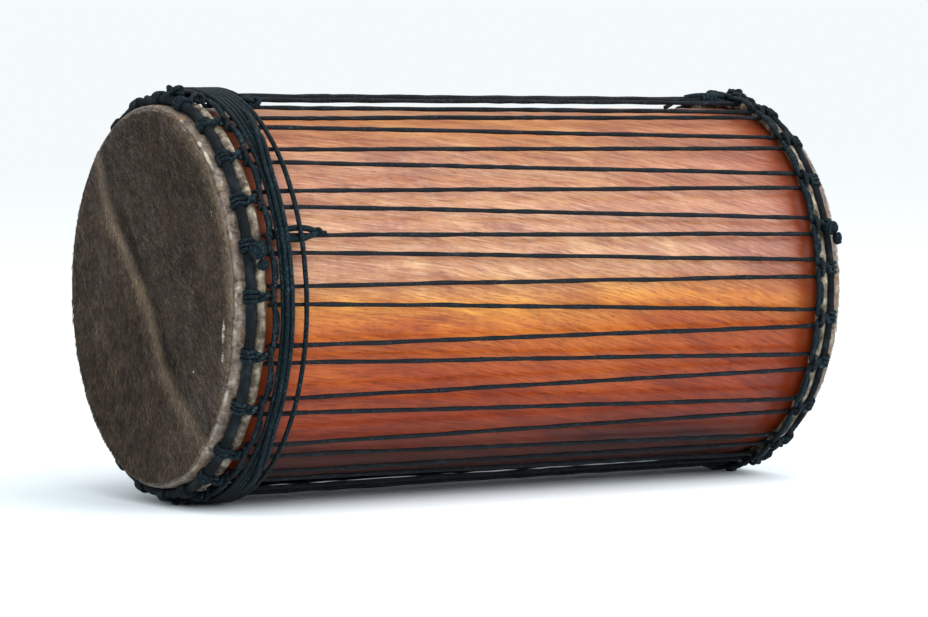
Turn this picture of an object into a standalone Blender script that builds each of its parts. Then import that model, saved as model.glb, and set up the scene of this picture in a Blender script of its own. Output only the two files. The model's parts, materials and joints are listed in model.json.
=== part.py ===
"""Two-headed cylinder drum with rope-tensioned hide heads, lying on its side on the plane z = 0.

The drum is drawn about its own axis first: s is the distance along the axis from mid-length, the front
head is at negative s, and an angle of zero faces -Y with +90 degrees on top. place() then tips it by the
small angle at which both ends touch the ground, because the rear end is slightly smaller than the front.
"""

import math

import bmesh
import bpy
from mathutils import Vector

# Driving dimensions, in metres and degrees; radii are given at the front end
LENGTH = 0.653
REAR_SMALLER = 0.0052
HEAD_SEGMENTS = 36

SHELL_RADIUS = 0.1755
SHELL_WALL = 0.0165
EDGE_ROUND = 0.0050

HIDE = 0.0018
GAP = 0.0003
COLLAR_END = 0.0180

FLESH_RADIUS = 0.1811
FLESH_DEPTH = 0.0247
FLESH_ROD = 0.0026
LAP_INNER = 0.0032
LAP_OUTER = 0.0050

CROWN_FRONT = {"depth": 0.0145, "radius": 0.1826, "rod": 0.0033, "cloth": 0.0047}
CROWN_REAR = {"depth": 0.0160, "radius": 0.1823, "rod": 0.0025, "cloth": 0.0038}
CLOTH_THICK = 0.0007

CORD = 0.0023
HITCHES = 24
HITCH_FRONT = 1.5
HITCH_REAR = 6.0
NECK_HALF = 0.0025
LEG_HALF = 0.0082
CRADLE_FRONT = 0.0378
CRADLE_REAR = 0.0345
CRADLE_RADIUS = 0.1892
CRADLE_BOW = 0.0010

LEG_FRONT = 0.1862
LEG_REAR = 0.1848
LEG_START = 0.0455
LEG_CLEAR = 0.0755

BAND_CORD = 0.00225
BAND_PITCH = 0.00475
BAND_TURNS = 6.2
BAND_DEPTH = 0.0425
BAND_RADIUS = 0.19165
BAND_START = 149.0
BAND_SEGMENTS = 40

# How far each hand-tied hitch is from its even place, in degrees, by hitch number
SHIFTS_FRONT = {4: -1.1, 3: -1.2, 2: -1.1, 1: 0.4, 0: 1.1, 23: -0.5, 22: -1.5, 21: -3.3, 20: -2.0, 19: -0.8}
SHIFTS_REAR = {4: 1.4, 3: -0.4, 2: -1.0, 1: -1.3, 0: 0.5, 23: 0.2, 22: 1.0, 21: -0.4, 20: -2.3, 19: -1.0}

REST_FRONT = (BAND_RADIUS + BAND_CORD, -LENGTH / 2 + BAND_DEPTH + 0.012)
REST_REAR = (CRADLE_RADIUS + CRADLE_BOW - REAR_SMALLER + CORD, LENGTH / 2 - CRADLE_REAR)
TILT = math.atan((REST_FRONT[0] - REST_REAR[0]) / (REST_REAR[1] - REST_FRONT[1]))
LIFT = REST_FRONT[0] * math.cos(TILT) + REST_FRONT[1] * math.sin(TILT)


def material(name, colour, roughness, metallic=0.0):
    mat = bpy.data.materials.new(name)
    mat.use_nodes = True
    shader = mat.node_tree.nodes["Principled BSDF"]
    shader.inputs["Base Color"].default_value = (*colour, 1.0)
    shader.inputs["Roughness"].default_value = roughness
    shader.inputs["Metallic"].default_value = metallic
    mat.diffuse_color = (*colour, 1.0)
    return mat


def place(s, y, z):
    """Tip the drum about Y until both ends rest on the ground."""
    c, t = math.cos(TILT), math.sin(TILT)
    return Vector((s * c + z * t, y, -s * t + z * c + LIFT))


def around(s, radius, degrees):
    a = math.radians(degrees)
    return Vector((s, -radius * math.cos(a), radius * math.sin(a)))


def add_object(name, points, faces, mat, sharp=40.0):
    mesh = bpy.data.meshes.new(name)
    mesh.from_pydata([place(*p) for p in points], [], faces)
    bm = bmesh.new()
    bm.from_mesh(mesh)
    bmesh.ops.recalc_face_normals(bm, faces=bm.faces)
    bmesh.ops.triangulate(bm, faces=bm.faces)
    bm.to_mesh(mesh)
    bm.free()
    mesh.polygons.foreach_set("use_smooth", [True] * len(mesh.polygons))
    mesh.set_sharp_from_angle(angle=math.radians(sharp))
    mesh.materials.append(mat)
    obj = bpy.data.objects.new(name, mesh)
    bpy.context.scene.collection.objects.link(obj)
    return obj


def revolve(name, profile, mat, segments=HEAD_SEGMENTS, sharp=40.0):
    """Turn a closed (s, radius) profile about the drum's axis; points at radius 0 become one vertex."""
    rows, points, faces = [], [], []
    for s, radius in profile:
        if radius < 1e-7:
            rows.append([len(points)] * segments)
            points.append((s, 0.0, 0.0))
        else:
            rows.append([len(points) + k for k in range(segments)])
            points += [around(s, radius, 360.0 * k / segments) for k in range(segments)]
    count = len(rows)
    for i in range(count):
        a, b = rows[i], rows[(i + 1) % count]
        for k in range(segments):
            n = (k + 1) % segments
            corners = []
            for v in (a[k], a[n], b[n], b[k]):
                if v not in corners:
                    corners.append(v)
            if len(corners) > 2:
                faces.append(corners)
    return add_object(name, points, faces, mat, sharp)


def tube(name, path, radius, mat, closed=False, sides=5):
    """Sweep a round section along a path, carrying the section from point to point without twist."""
    count = len(path)
    tangents = []
    for i in range(count):
        before = path[i - 1] if closed or i else path[0]
        after = path[(i + 1) % count] if closed or i < count - 1 else path[-1]
        a = path[i] - before
        b = after - path[i]
        a = a.normalized() if a.length > 1e-9 else b.normalized()
        b = b.normalized() if b.length > 1e-9 else a
        tangents.append((a + b).normalized() if (a + b).length > 1e-6 else a)
    normals = []
    seed = Vector((0.31, 0.52, 0.80))
    normal = (seed - tangents[0] * seed.dot(tangents[0])).normalized()
    for i in range(count):
        if i:
            turn = tangents[i - 1].rotation_difference(tangents[i])
            normal = turn @ normal
        normal = (normal - tangents[i] * normal.dot(tangents[i])).normalized()
        normals.append(normal.copy())
    twist = 0.0
    if closed:
        last = tangents[-1].rotation_difference(tangents[0]) @ normals[-1]
        side = tangents[0].cross(normals[0])
        twist = -math.atan2(last.dot(side), last.dot(normals[0]))
    points, faces = [], []
    for i in range(count):
        side = tangents[i].cross(normals[i])
        before = path[i] - path[i - 1] if closed or i else path[1] - path[0]
        bend = max(0.5, abs(before.normalized().dot(tangents[i])))
        axis = before.normalized() - tangents[i] * before.normalized().dot(tangents[i])
        for k in range(sides):
            a = math.tau * k / sides + twist * i / count
            v = normals[i] * math.cos(a) + side * math.sin(a)
            if axis.length > 1e-6:
                u = axis.normalized()
                v = v + u * v.dot(u) * (1.0 / bend - 1.0)
            points.append(path[i] + v * radius)
    for i in range(count if closed else count - 1):
        n = (i + 1) % count
        for k in range(sides):
            m = (k + 1) % sides
            faces.append((i * sides + k, i * sides + m, n * sides + m, n * sides + k))
    if not closed:
        faces.append(tuple(range(sides)))
        faces.append(tuple(range((count - 1) * sides, count * sides)))
    return add_object(name, points, faces, mat, 75.0)


class End:
    """One head of the drum: turns (depth from the face plane, radius) into points on the axis frame."""

    def __init__(self, side):
        self.side = side
        self.less = 0.0 if side < 0 else REAR_SMALLER
        self.offset = HITCH_FRONT if side < 0 else HITCH_REAR
        self.shifts = SHIFTS_FRONT if side < 0 else SHIFTS_REAR
        self.crown = CROWN_FRONT if side < 0 else CROWN_REAR
        self.cradle = CRADLE_FRONT if side < 0 else CRADLE_REAR

    def s(self, depth):
        return self.side * (LENGTH / 2 - depth)

    def ring_profile(self, depth, radius, points):
        """Points (depth offset, radial offset) about a hoop centre given at front size."""
        return [(self.s(depth + d), radius - self.less + r) for d, r in points]

    def at(self, depth, radius, degrees, along=0.0):
        """A point at front-size radius, shifted by an arc length along the rim."""
        r = radius - self.less
        return around(self.s(depth), r, degrees + math.degrees(along / r))

    def hitch(self, k):
        return self.offset + 360.0 / HITCHES * k + self.shifts.get(k % HITCHES, 0.0)


def arc(radius, start, end, count):
    step = (end - start) / (count - 1)
    angles = [math.radians(start + step * k) for k in range(count)]
    return [(radius * math.cos(a), radius * math.sin(a)) for a in angles]


def make_shell(mat):
    profile = []
    inner_depth = HIDE + GAP
    for end in (End(-1), End(1)):
        outer = SHELL_RADIUS - end.less
        centre = (inner_depth + EDGE_ROUND, outer - EDGE_ROUND)
        rim = []
        for c, n in arc(EDGE_ROUND, 180, 90, 4):
            rim.append((end.s(centre[0] + c), centre[1] + n))
        inside = outer - SHELL_WALL
        rim.insert(0, (end.s(inner_depth), inside + 0.004))
        rim.insert(0, (end.s(inner_depth + 0.005), inside))
        profile += rim if end.side < 0 else rim[::-1]
    return revolve("shell", profile, mat)


def make_hide(end, mat, name):
    outer = SHELL_RADIUS - end.less
    cd, cr = HIDE + GAP + EDGE_ROUND, outer - EDGE_ROUND
    top = [(cd + c, cr + n) for c, n in arc(EDGE_ROUND + GAP + HIDE, 180, 90, 4)]
    under = [(cd + c, cr + n) for c, n in arc(EDGE_ROUND + GAP, 180, 90, 4)]
    hoop = (FLESH_DEPTH, FLESH_RADIUS - end.less)
    turns = [-90.0, -30.0, 30.0, 90.0, 150.0, 212.0]
    lap_out, lap_in = [], []
    for a in turns:
        c, n = math.cos(math.radians(a)), math.sin(math.radians(a))
        lap_out.append((hoop[0] + LAP_OUTER * c, hoop[1] + LAP_OUTER * n))
        lap_in.append((hoop[0] + LAP_INNER * c, hoop[1] + LAP_INNER * n))
    collar_out = (COLLAR_END, top[-1][1])
    collar_in = (COLLAR_END + 0.001, under[-1][1])
    line = [(0.0, 0.0)] + top + [collar_out] + lap_in + lap_out[::-1] + [collar_in]
    line += under[::-1] + [(HIDE, 0.0)]
    return revolve(name, [(end.s(d), r) for d, r in line], mat)


def make_rod(end, depth, radius, rod, mat, name):
    return revolve(name, end.ring_profile(depth, radius, arc(rod, 0, 288, 5)), mat, sharp=80.0)


def make_cloth(end, mat, name):
    """A strip lapped round the crown ring, its edges a little apart on the side nearest the axis."""
    outer = arc(end.crown["cloth"], -76, 256, 7)
    inner = arc(end.crown["cloth"] - CLOTH_THICK, -70, 250, 6)
    profile = end.ring_profile(end.crown["depth"], end.crown["radius"], outer + inner[::-1])
    return revolve(name, profile, mat, sharp=60.0)


def make_loop_cord(end, mat, name):
    """One cord hitched over the crown ring at every station, with a straight cradle run between them."""
    depth, radius = end.crown["depth"], end.crown["radius"]
    reach = end.crown["cloth"] + CORD + 0.0005
    down = [
        (end.cradle - 0.0003, CRADLE_RADIUS - 0.0001, NECK_HALF + 0.0004),
        (FLESH_DEPTH + 0.0060, 0.1865, NECK_HALF),
        (FLESH_DEPTH + 0.0006, FLESH_RADIUS + LAP_OUTER + CORD + 0.0004, NECK_HALF),
        (depth - 0.0012, radius + reach, NECK_HALF),
        (depth - 0.82 * reach, radius + 0.66 * reach, NECK_HALF),
        (depth - 1.04 * reach, radius + 0.0009, NECK_HALF),
    ]
    path = []
    for k in range(HITCHES):
        centre, last = end.hitch(k), end.hitch(k - 1)
        path.append(end.at(end.cradle, CRADLE_RADIUS + CRADLE_BOW, (centre + last) / 2))
        path += [end.at(d, r, centre, -a) for d, r, a in down]
        path.append(end.at(depth - 1.04 * reach, radius - 0.0017, centre))
        path += [end.at(d, r, centre, a) for d, r, a in down[::-1]]
    return tube(name, path, CORD, mat, closed=True)


def rope_turn(end):
    """The rope over the neck of a hitch, from a leg to the middle: depth, radius, half width."""
    over, lift = (0.0078, 0.1919) if end.side < 0 else (0.0048, 0.1921)
    over += FLESH_DEPTH
    return [
        (end.cradle, 0.1838, LEG_HALF),
        (end.cradle - 0.0041, 0.1859, LEG_HALF + 0.0002),
        (over + 0.0001, 0.1898, 0.0074),
        (over, lift, 0.0038),
    ]


def make_rope(mat):
    """The tension rope: every turn goes under the cradle runs and over the neck of a hitch."""
    front, rear = End(-1), End(1)
    front_turn, rear_turn = rope_turn(front), rope_turn(rear)
    path = []
    for k in range(HITCHES):
        a = front.hitch(k)
        path.append(front.at(LEG_CLEAR, LEG_FRONT, a, -LEG_HALF))
        path.append(front.at(LEG_START, LEG_FRONT, a, -LEG_HALF))
        path += [front.at(d, r, a, -w) for d, r, w in front_turn]
        path += [front.at(d, r, a, w) for d, r, w in front_turn[::-1]]
        path.append(front.at(LEG_START, LEG_FRONT, a, LEG_HALF))
        path.append(front.at(LEG_CLEAR, LEG_FRONT, a, LEG_HALF))
        b = rear.hitch(k)
        path.append(rear.at(LEG_START, LEG_REAR, b, -LEG_HALF))
        path += [rear.at(d, r, b, -w) for d, r, w in rear_turn]
        path += [rear.at(d, r, b, w) for d, r, w in rear_turn[::-1]]
        path.append(rear.at(LEG_START, LEG_REAR, b, LEG_HALF))
    return tube("tension_rope", path, CORD, mat, closed=True)


def gathered(degrees):
    """How far the outer turns are bunched over the inner ones: all the way on the side facing -Y."""
    a = abs((degrees + 180.0) % 360.0 - 180.0)
    t = min(1.0, max(0.0, (65.0 - a) / 30.0))
    return t * t * (3.0 - 2.0 * t)


def band_point(turn, end):
    degrees = BAND_START - 360.0 * turn
    index = int(turn)
    depth = BAND_DEPTH + BAND_PITCH * turn
    rise = 0.0
    if index in (3, 4):
        depth -= 2.5 * BAND_PITCH * gathered(degrees)
        last = BAND_DEPTH + BAND_PITCH * (turn - index + 2.0)
        if depth > last:
            apart = depth - last
        else:
            apart = abs((last - depth + BAND_PITCH / 2) % BAND_PITCH - BAND_PITCH / 2)
        rise = math.sqrt(max(0.0, BAND_PITCH**2 - apart**2))
    return end.at(depth, BAND_RADIUS + rise, degrees)


def make_band(mat):
    count = int(BAND_TURNS * BAND_SEGMENTS)
    front = End(-1)
    path = [band_point(BAND_TURNS * i / count, front) for i in range(count + 1)]
    return tube("wrap_band", path, BAND_CORD, mat)


def overhand(size, count, opening=0.30):
    """An overhand knot lying flat, open at one lobe for its two tails."""
    points = []
    for i in range(count):
        t = math.pi / 6 + opening + (math.tau - 2 * opening) * i / (count - 1)
        x = math.sin(t) + 2 * math.sin(2 * t)
        y = math.cos(t) - 2 * math.cos(2 * t)
        points.append(Vector((x, y, -math.sin(3 * t))) * size)
    return points


def make_knot(name, end, depth, radius, degrees, size, cord, roll, mat):
    """Lay an overhand knot against the rim, its flat side facing outward."""
    centre = around(end.s(depth), radius, degrees)
    outward = around(0.0, 1.0, degrees)
    along = Vector((1.0, 0.0, 0.0))
    across = outward.cross(along)
    c, n = math.cos(math.radians(roll)), math.sin(math.radians(roll))
    path = []
    for p in overhand(size, 23):
        x, y = p.x * c - p.y * n, p.x * n + p.y * c
        path.append(centre + along * x + across * y + outward * p.z)
    start = path[0] + (path[0] - path[1]).normalized() * size * 1.2
    finish = path[-1] + (path[-1] - path[-2]).normalized() * size * 1.2
    return tube(name, [start] + path + [finish], cord, mat)


def make_lashing(end, mat):
    """A short coil round one leg of the tension rope, where the rope's ends are bound."""
    b = end.hitch(5) + math.degrees(LEG_HALF / ((LEG_REAR - end.less)))
    a = End(-1).hitch(6) - math.degrees(LEG_HALF / LEG_FRONT)
    near = end.at(LEG_START, LEG_REAR, b)
    far = End(-1).at(LEG_CLEAR, LEG_FRONT, a)
    axis = (far - near).normalized()
    up = (Vector((0, 0, 1)) - axis * axis.z).normalized()
    side = axis.cross(up)
    reach, turns, per_turn = 0.0048, 6.0, 8
    path = []
    for i in range(int(turns * per_turn) + 1):
        t = i / per_turn
        w = math.tau * t
        path.append(near + axis * (0.010 + 0.0049 * t) + (up * math.cos(w) + side * math.sin(w)) * reach)
    return tube("rope_lashing", path, 0.0020, mat)


for old in list(bpy.data.objects):
    bpy.data.objects.remove(old, do_unlink=True)

WOOD = material("oiled_redwood", (0.36, 0.12, 0.045), 0.32)
HIDE_FRONT = material("front_goat_hide", (0.055, 0.042, 0.035), 0.75)
HIDE_REAR = material("rear_goat_hide", (0.10, 0.075, 0.055), 0.75)
RAW_IRON = material("black_iron", (0.05, 0.05, 0.055), 0.45, 1.0)
HOOP_IRON = material("hidden_hoop_iron", (0.08, 0.07, 0.065), 0.5, 1.0)
CLOTH = material("navy_cotton_strip", (0.012, 0.014, 0.028), 0.9)
LOOP_FRONT = material("front_loop_cord_nylon", (0.016, 0.024, 0.026), 0.6)
LOOP_REAR = material("rear_loop_cord_nylon", (0.015, 0.021, 0.024), 0.6)
ROPE = material("tension_rope_nylon", (0.014, 0.020, 0.024), 0.6)
BAND = material("wrap_band_nylon", (0.022, 0.033, 0.036), 0.6)
KNOT = material("knot_cord_nylon", (0.010, 0.015, 0.016), 0.6)

make_shell(WOOD)
for drum_end, word, hide_mat, loop_mat in (
    (End(-1), "front", HIDE_FRONT, LOOP_FRONT),
    (End(1), "rear", HIDE_REAR, LOOP_REAR),
):
    make_hide(drum_end, hide_mat, word + "_hide")
    crown = drum_end.crown
    make_rod(drum_end, FLESH_DEPTH, FLESH_RADIUS, FLESH_ROD, HOOP_IRON, word + "_flesh_hoop")
    make_rod(drum_end, crown["depth"], crown["radius"], crown["rod"], RAW_IRON, word + "_crown_ring")
    make_cloth(drum_end, CLOTH, word + "_ring_cloth")
    make_loop_cord(drum_end, loop_mat, word + "_loop_cord")
make_rope(ROPE)
make_band(BAND)

FRONT, REAR = End(-1), End(1)
make_knot("front_ring_knot", FRONT, 0.0165, 0.2002, 17.4, 0.0032, 0.0021, 20.0, KNOT)
make_knot("front_loop_knot", FRONT, 0.0175, 0.1922, 84.0, 0.0026, 0.0019, 75.0, KNOT)
make_knot("leg_loop_knot", FRONT, 0.0830, 0.1934, 20.0, 0.0026, 0.0017, 90.0, KNOT)
make_knot("wrap_end_knot", FRONT, 0.0875, 0.1940, 76.0, 0.0027, 0.0018, 60.0, KNOT)
make_knot("rear_ring_knot_upper", REAR, 0.0165, 0.1900, 20.0, 0.0019, 0.0013, 10.0, KNOT)
make_knot("rear_ring_knot_lower", REAR, 0.0125, 0.1900, 14.8, 0.0019, 0.0013, 50.0, KNOT)
make_knot("rear_loop_knot", REAR, 0.0175, 0.1855, 88.5, 0.0024, 0.0018, 40.0, KNOT)
make_lashing(REAR, KNOT)
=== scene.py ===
"""Looks of the two-headed cylinder drum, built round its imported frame.

Shapes are drawn about the drum's own axis, as (s, y, z) with s along the axis and the front head at
negative s. An angle of zero faces -Y and +90 degrees is on top. place() puts them in the row frame.
"""

import json
import math

import bmesh
import bpy
import numpy as np
from mathutils import Matrix, Vector


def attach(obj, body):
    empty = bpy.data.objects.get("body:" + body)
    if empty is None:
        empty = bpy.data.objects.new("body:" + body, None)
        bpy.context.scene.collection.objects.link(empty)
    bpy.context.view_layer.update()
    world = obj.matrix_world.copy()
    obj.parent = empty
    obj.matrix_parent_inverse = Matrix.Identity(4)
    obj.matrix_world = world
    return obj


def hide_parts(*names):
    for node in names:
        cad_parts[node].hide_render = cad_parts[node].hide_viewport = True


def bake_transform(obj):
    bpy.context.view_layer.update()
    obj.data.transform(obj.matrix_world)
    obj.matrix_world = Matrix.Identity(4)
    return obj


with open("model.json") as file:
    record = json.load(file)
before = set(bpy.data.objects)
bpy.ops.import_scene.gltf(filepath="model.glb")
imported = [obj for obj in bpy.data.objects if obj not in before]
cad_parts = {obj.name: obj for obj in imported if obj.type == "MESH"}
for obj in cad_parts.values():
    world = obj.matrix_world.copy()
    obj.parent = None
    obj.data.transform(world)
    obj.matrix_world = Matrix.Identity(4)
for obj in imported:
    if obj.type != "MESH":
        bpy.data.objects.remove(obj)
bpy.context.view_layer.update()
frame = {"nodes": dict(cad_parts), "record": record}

# The drum's own axes, from the two playing faces in the record
FACES = {m["name"]: np.array(m["pos_m"]) for m in frame["record"]["mounts"]}
FRONT_FACE, REAR_FACE = FACES["front_playing_face"], FACES["rear_playing_face"]
LENGTH = float(np.linalg.norm(REAR_FACE - FRONT_FACE))
AXIS = (REAR_FACE - FRONT_FACE) / LENGTH
MIDDLE = (REAR_FACE + FRONT_FACE) / 2
ACROSS = np.array([0.0, 1.0, 0.0])
UP = np.cross(AXIS, ACROSS)

# The CAD's sizes, in metres and degrees; radii are given at the front end
SHELL_RADIUS = 0.1755
SHELL_WALL = 0.0165
EDGE_ROUND = 0.0050
HIDE = 0.0018
GAP = 0.0003
COLLAR_END = 0.0180
FLESH_RADIUS, FLESH_DEPTH = 0.1811, 0.0247
LAP_INNER, LAP_OUTER = 0.0032, 0.0050
CORD = 0.0023
HITCHES = 24
LEG_HALF = 0.0082
CRADLE_RADIUS, CRADLE_BOW = 0.1892, 0.0010
LEG_START = 0.0455
BAND_CORD = 0.00225
BAND_PITCH = 0.00475
BAND_TURNS = 6.2
BAND_RADIUS = 0.19165
BAND_START = 149.0
BAND_POINTS = 2300
# A few millimetres nearer the head than in the CAD, as the photo shows it
BAND_DEPTH = 0.0398

# The wood's painted shade and sheen from the foot of the drum as it lies (0) to its top (1): darker at the
# foot, a painted pinkish sheen above
WOOD_SHADE_AND_SHEEN = (
    (0.09, (0.18, 0.06, 0.025)),
    (0.18, (0.62, 0.26, 0.09)),
    (0.29, (0.79, 0.45, 0.19)),
    (0.42, (0.93, 0.74, 0.32)),
    (0.49, (1.24, 1.60, 1.10)),
    (0.56, (1.02, 1.72, 3.40)),
    (0.85, (0.96, 1.58, 3.60)),
    (0.95, (1.03, 1.38, 1.75)),
)
# The wood's tint from the front end (0) to the rear end (1)
WOOD_LENGTHWISE = (
    (0.02, (1.00, 1.00, 1.06)),
    (0.20, (1.00, 1.00, 1.00)),
    (0.62, (1.00, 1.00, 1.00)),
    (0.84, (0.84, 0.72, 0.80)),
    (1.00, (0.78, 0.62, 0.66)),
)
# The loop cord where it is drawn thin over the ring, and the tension rope
THIN = 0.0019
ROPE_RADIUS = 0.00208
# Depth from the head's face and distance from the middle; build_tension_half makes points from them that
# nothing uses
BLEND_TO, BLEND_FROM = 0.060, 0.004
# How far the two halves of the tension rope run into each other
OVERLAP = 0.0020
# Legs that lie closer to the shell: (end's side, hitch, side of the hitch) to metres
LOW_LEGS = {(-1, 5, -1): 0.0036, (1, 4, 1): 0.0012, (-1, 7, 1): 0.0032, (1, 7, -1): 0.0030}
# Hitches whose turns are drawn down hard into the ring's strip
PULLED_TIGHT = (8, 9, 15, 16)


# ---- points and noise


def place(points):
    """Drum axes to the row frame."""
    p = np.asarray(points, float)
    return MIDDLE + p[..., :1] * AXIS + p[..., 1:2] * ACROSS + p[..., 2:] * UP


def turned(v):
    """A direction from drum axes to the row frame."""
    return v[0] * AXIS + v[1] * ACROSS + v[2] * UP


def around(s, radius, degrees):
    """Points at a distance along the axis, a radius and an angle."""
    a = np.radians(degrees)
    return np.stack(np.broadcast_arrays(s, -radius * np.cos(a), radius * np.sin(a)), -1)


def corner_hash(cell, seed):
    """A random number from -1 to 1 for each corner of the noise's grid."""
    n = cell[..., 0] * 73856093 ^ cell[..., 1] * 19349663 ^ cell[..., 2] * 83492791
    n = (n ^ (seed * 2654435 + 1013)) & 0xFFFFFFF
    n = ((n ^ (n >> 13)) * 60493) & 0xFFFFFFF
    n = ((n ^ (n >> 9)) * 19990303) & 0xFFFFFFF
    return ((n >> 4) & 0xFFFF) / 32767.5 - 1.0


def value_noise(p, seed):
    cell = np.floor(p).astype(np.int64)
    f = p - cell
    f = f * f * (3 - 2 * f)
    total = 0.0
    for corner in np.ndindex(2, 2, 2):
        share = np.where(corner, f, 1 - f)
        w = share[..., 0] * share[..., 1] * share[..., 2]
        total = total + w * corner_hash(cell + np.array(corner), seed)
    return total


def fbm(p, scale, seed, octaves=3):
    """Noise summed over octaves of growing detail."""
    total, weight = 0.0, 0.0
    for k in range(octaves):
        total = total + value_noise(np.asarray(p) * scale * 2**k, seed + 17 * k) * 0.5**k
        weight += 0.5**k
    return total / weight


def unit(v):
    return v / np.linalg.norm(v, axis=-1, keepdims=True)


def bell(x, centre, width):
    """1 at the centre, falling to 0 over the width."""
    return np.exp(-(((x - centre) / width) ** 2))


def smoothstep(low, high, x):
    t = np.clip((x - low) / (high - low), 0.0, 1.0)
    return t * t * (3 - 2 * t)


def curve(points, step, closed=False, values=None):
    """A smooth line through the points, sampled about every step metres, and values carried along it."""
    p = np.asarray(points, float)
    if values is not None:
        p = np.hstack([p, np.asarray(values, float)[:, None]])
    if closed:
        p = np.vstack([p[-1:], p, p[:2]])
    else:
        p = np.vstack([2 * p[:1] - p[1:2], p, 2 * p[-1:] - p[-2:-1]])
    d = np.maximum(np.linalg.norm(np.diff(p[:, :3], axis=0), axis=1), 1e-9)
    m = (p[2:] - p[:-2]) / (d[1:] + d[:-1])[:, None]
    out = []
    for i in range(len(m) - 1):
        n = max(1, int(round(d[i + 1] / step)))
        t = (np.arange(n) / n)[:, None]
        a, b = p[i + 1], p[i + 2]
        ta, tb = m[i] * d[i + 1], m[i + 1] * d[i + 1]
        out.append(
            a * (2 * t**3 - 3 * t**2 + 1)
            + ta * (t**3 - 2 * t**2 + t)
            + b * (3 * t**2 - 2 * t**3)
            + tb * (t**3 - t**2)
        )
    if not closed:
        out.append(p[-2][None])
    line = np.vstack(out)
    return line if values is None else (line[:, :3], line[:, 3])


# Hitches that stray from an even spacing
STRAYED = (19, 20, 21, 22, 23, 0, 1, 2, 3, 4)


class End:
    """One head: turns (depth from the face plane, front-size radius) into points on the drum's axes.

    less      how much smaller the shell's radius is here than at the front
    offset    angle of hitch 0, and strays, the degrees added to each strayed hitch
    crown     the ring's depth, its radius and the radius of its wrapping
    cradle    depth of the runs between hitches; the front's is 2.8 mm nearer the head than in the CAD
    corner    from a run to its hitch: how far before the run, radius, distance from the hitch's middle
    second    how far behind each run its second strand lies
    leg       depth where the rope's legs run straight, and their radius
    neck      depth behind the hoop and radius of the rope where it crosses a hitch
    """

    def __init__(self, word, side, less, strays, **sizes):
        self.word, self.side, self.less = word, side, less
        self.body = word + "_head"
        self.shifts = dict(zip(STRAYED, strays))
        vars(self).update(sizes)

    def s(self, depth):
        return self.side * (LENGTH / 2 - depth)

    def at(self, depth, radius, degrees, along=0.0):
        r = np.asarray(radius) - self.less
        return around(self.s(np.asarray(depth)), r, degrees + np.degrees(along / r))

    def hitch(self, k):
        return self.offset + 360.0 / HITCHES * k + self.shifts.get(k % HITCHES, 0.0)


FRONT = End(
    "front",
    side=-1,
    less=0.0,
    offset=1.5,
    strays=(-0.8, -2.0, -3.3, -1.5, -0.5, 1.1, 0.4, -1.1, -1.2, -1.1),
    crown=(0.0145, 0.1826, 0.0047),
    cradle=0.0350,
    corner=((0.0001, 0.1892, 0.0078), (0.0008, 0.1890, 0.0052), (0.0028, 0.1880, 0.0034)),
    second=0.0027,
    leg=(0.0755, 0.1862),
    neck=(0.0078, 0.1919),
)
REAR = End(
    "rear",
    side=1,
    less=0.0052,
    offset=6.0,
    strays=(-1.0, -2.3, -0.4, 1.0, 0.2, 0.5, -1.3, -1.0, -0.4, 1.4),
    crown=(0.0160, 0.1823, 0.0038),
    cradle=0.0345,
    corner=((0.0001, 0.1892, 0.0066), (0.0007, 0.1889, 0.0045), (0.0020, 0.1879, 0.0032)),
    second=-0.0038,
    leg=(LEG_START, 0.1848),
    neck=(0.0048, 0.1921),
)


# ---- meshes


def make_mesh(name, mat, co, quads, uv=None, tris=None, attributes=None):
    """A smooth-shaded object from points on the drum's axes; uv is given per quad corner."""
    mesh = bpy.data.meshes.new(name)
    quads = np.asarray(quads, np.int32).reshape(-1, 4)
    tris = np.zeros((0, 3), np.int32) if tris is None else np.asarray(tris, np.int32)
    loops = np.concatenate([quads.ravel(), tris.ravel()])
    starts = np.concatenate([np.arange(len(quads)) * 4, len(quads) * 4 + np.arange(len(tris)) * 3])
    mesh.vertices.add(len(co))
    mesh.vertices.foreach_set("co", place(co).astype(np.float32).ravel())
    mesh.loops.add(len(loops))
    mesh.loops.foreach_set("vertex_index", loops)
    mesh.polygons.add(len(starts))
    mesh.polygons.foreach_set("loop_start", starts.astype(np.int32))
    mesh.update(calc_edges=True)
    mesh.polygons.foreach_set("use_smooth", np.ones(len(starts), bool))
    if uv is not None:
        layer = mesh.uv_layers.new(name="UVMap")
        flat = np.zeros((len(loops), 2), np.float32)
        flat[: len(quads) * 4] = np.asarray(uv, np.float32).reshape(-1, 2)
        layer.data.foreach_set("uv", flat.ravel())
    for key, values in (attributes or {}).items():
        layer = mesh.attributes.new(key, "FLOAT", "POINT")
        layer.data.foreach_set("value", np.asarray(values, np.float32).ravel())
    mesh.materials.append(mat)
    obj = bpy.data.objects.new(name, mesh)
    bpy.context.scene.collection.objects.link(obj)
    return obj


def grid_corners(rows, cols):
    """Row and column of each quad's four corners."""
    i, j = np.meshgrid(np.arange(rows), np.arange(cols), indexing="ij")
    return (i, j), (i, j + 1), (i + 1, j + 1), (i + 1, j)


def grid_quads(rows, cols, wrap_rows):
    """Vertex indices of a grid whose columns go all the way round."""
    corners = grid_corners(rows if wrap_rows else rows - 1, cols)
    return np.stack([i % rows * cols + j % cols for i, j in corners], -1).reshape(-1, 4)


def grid_uv(u, v, wrap_rows, u_turn):
    """Corner uvs of a grid with u per row and v per column edge; v has one more entry than columns."""
    ue = np.append(u, u_turn) if wrap_rows else u
    corners = grid_corners(len(ue) - 1, len(v) - 1)
    return np.stack([np.stack([ue[i], v[j]], -1) for i, j in corners], -2).reshape(-1, 2)


def stand_in(obj, body, node):
    """The piece rides a body and stands for a CAD node."""
    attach(obj, body)
    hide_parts(node)


def swing(normal, side, angle):
    """The two directions across a cord, turned about it."""
    c, k = np.cos(angle)[:, None], np.sin(angle)[:, None]
    return normal * c + side * k, side * c - normal * k


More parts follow.
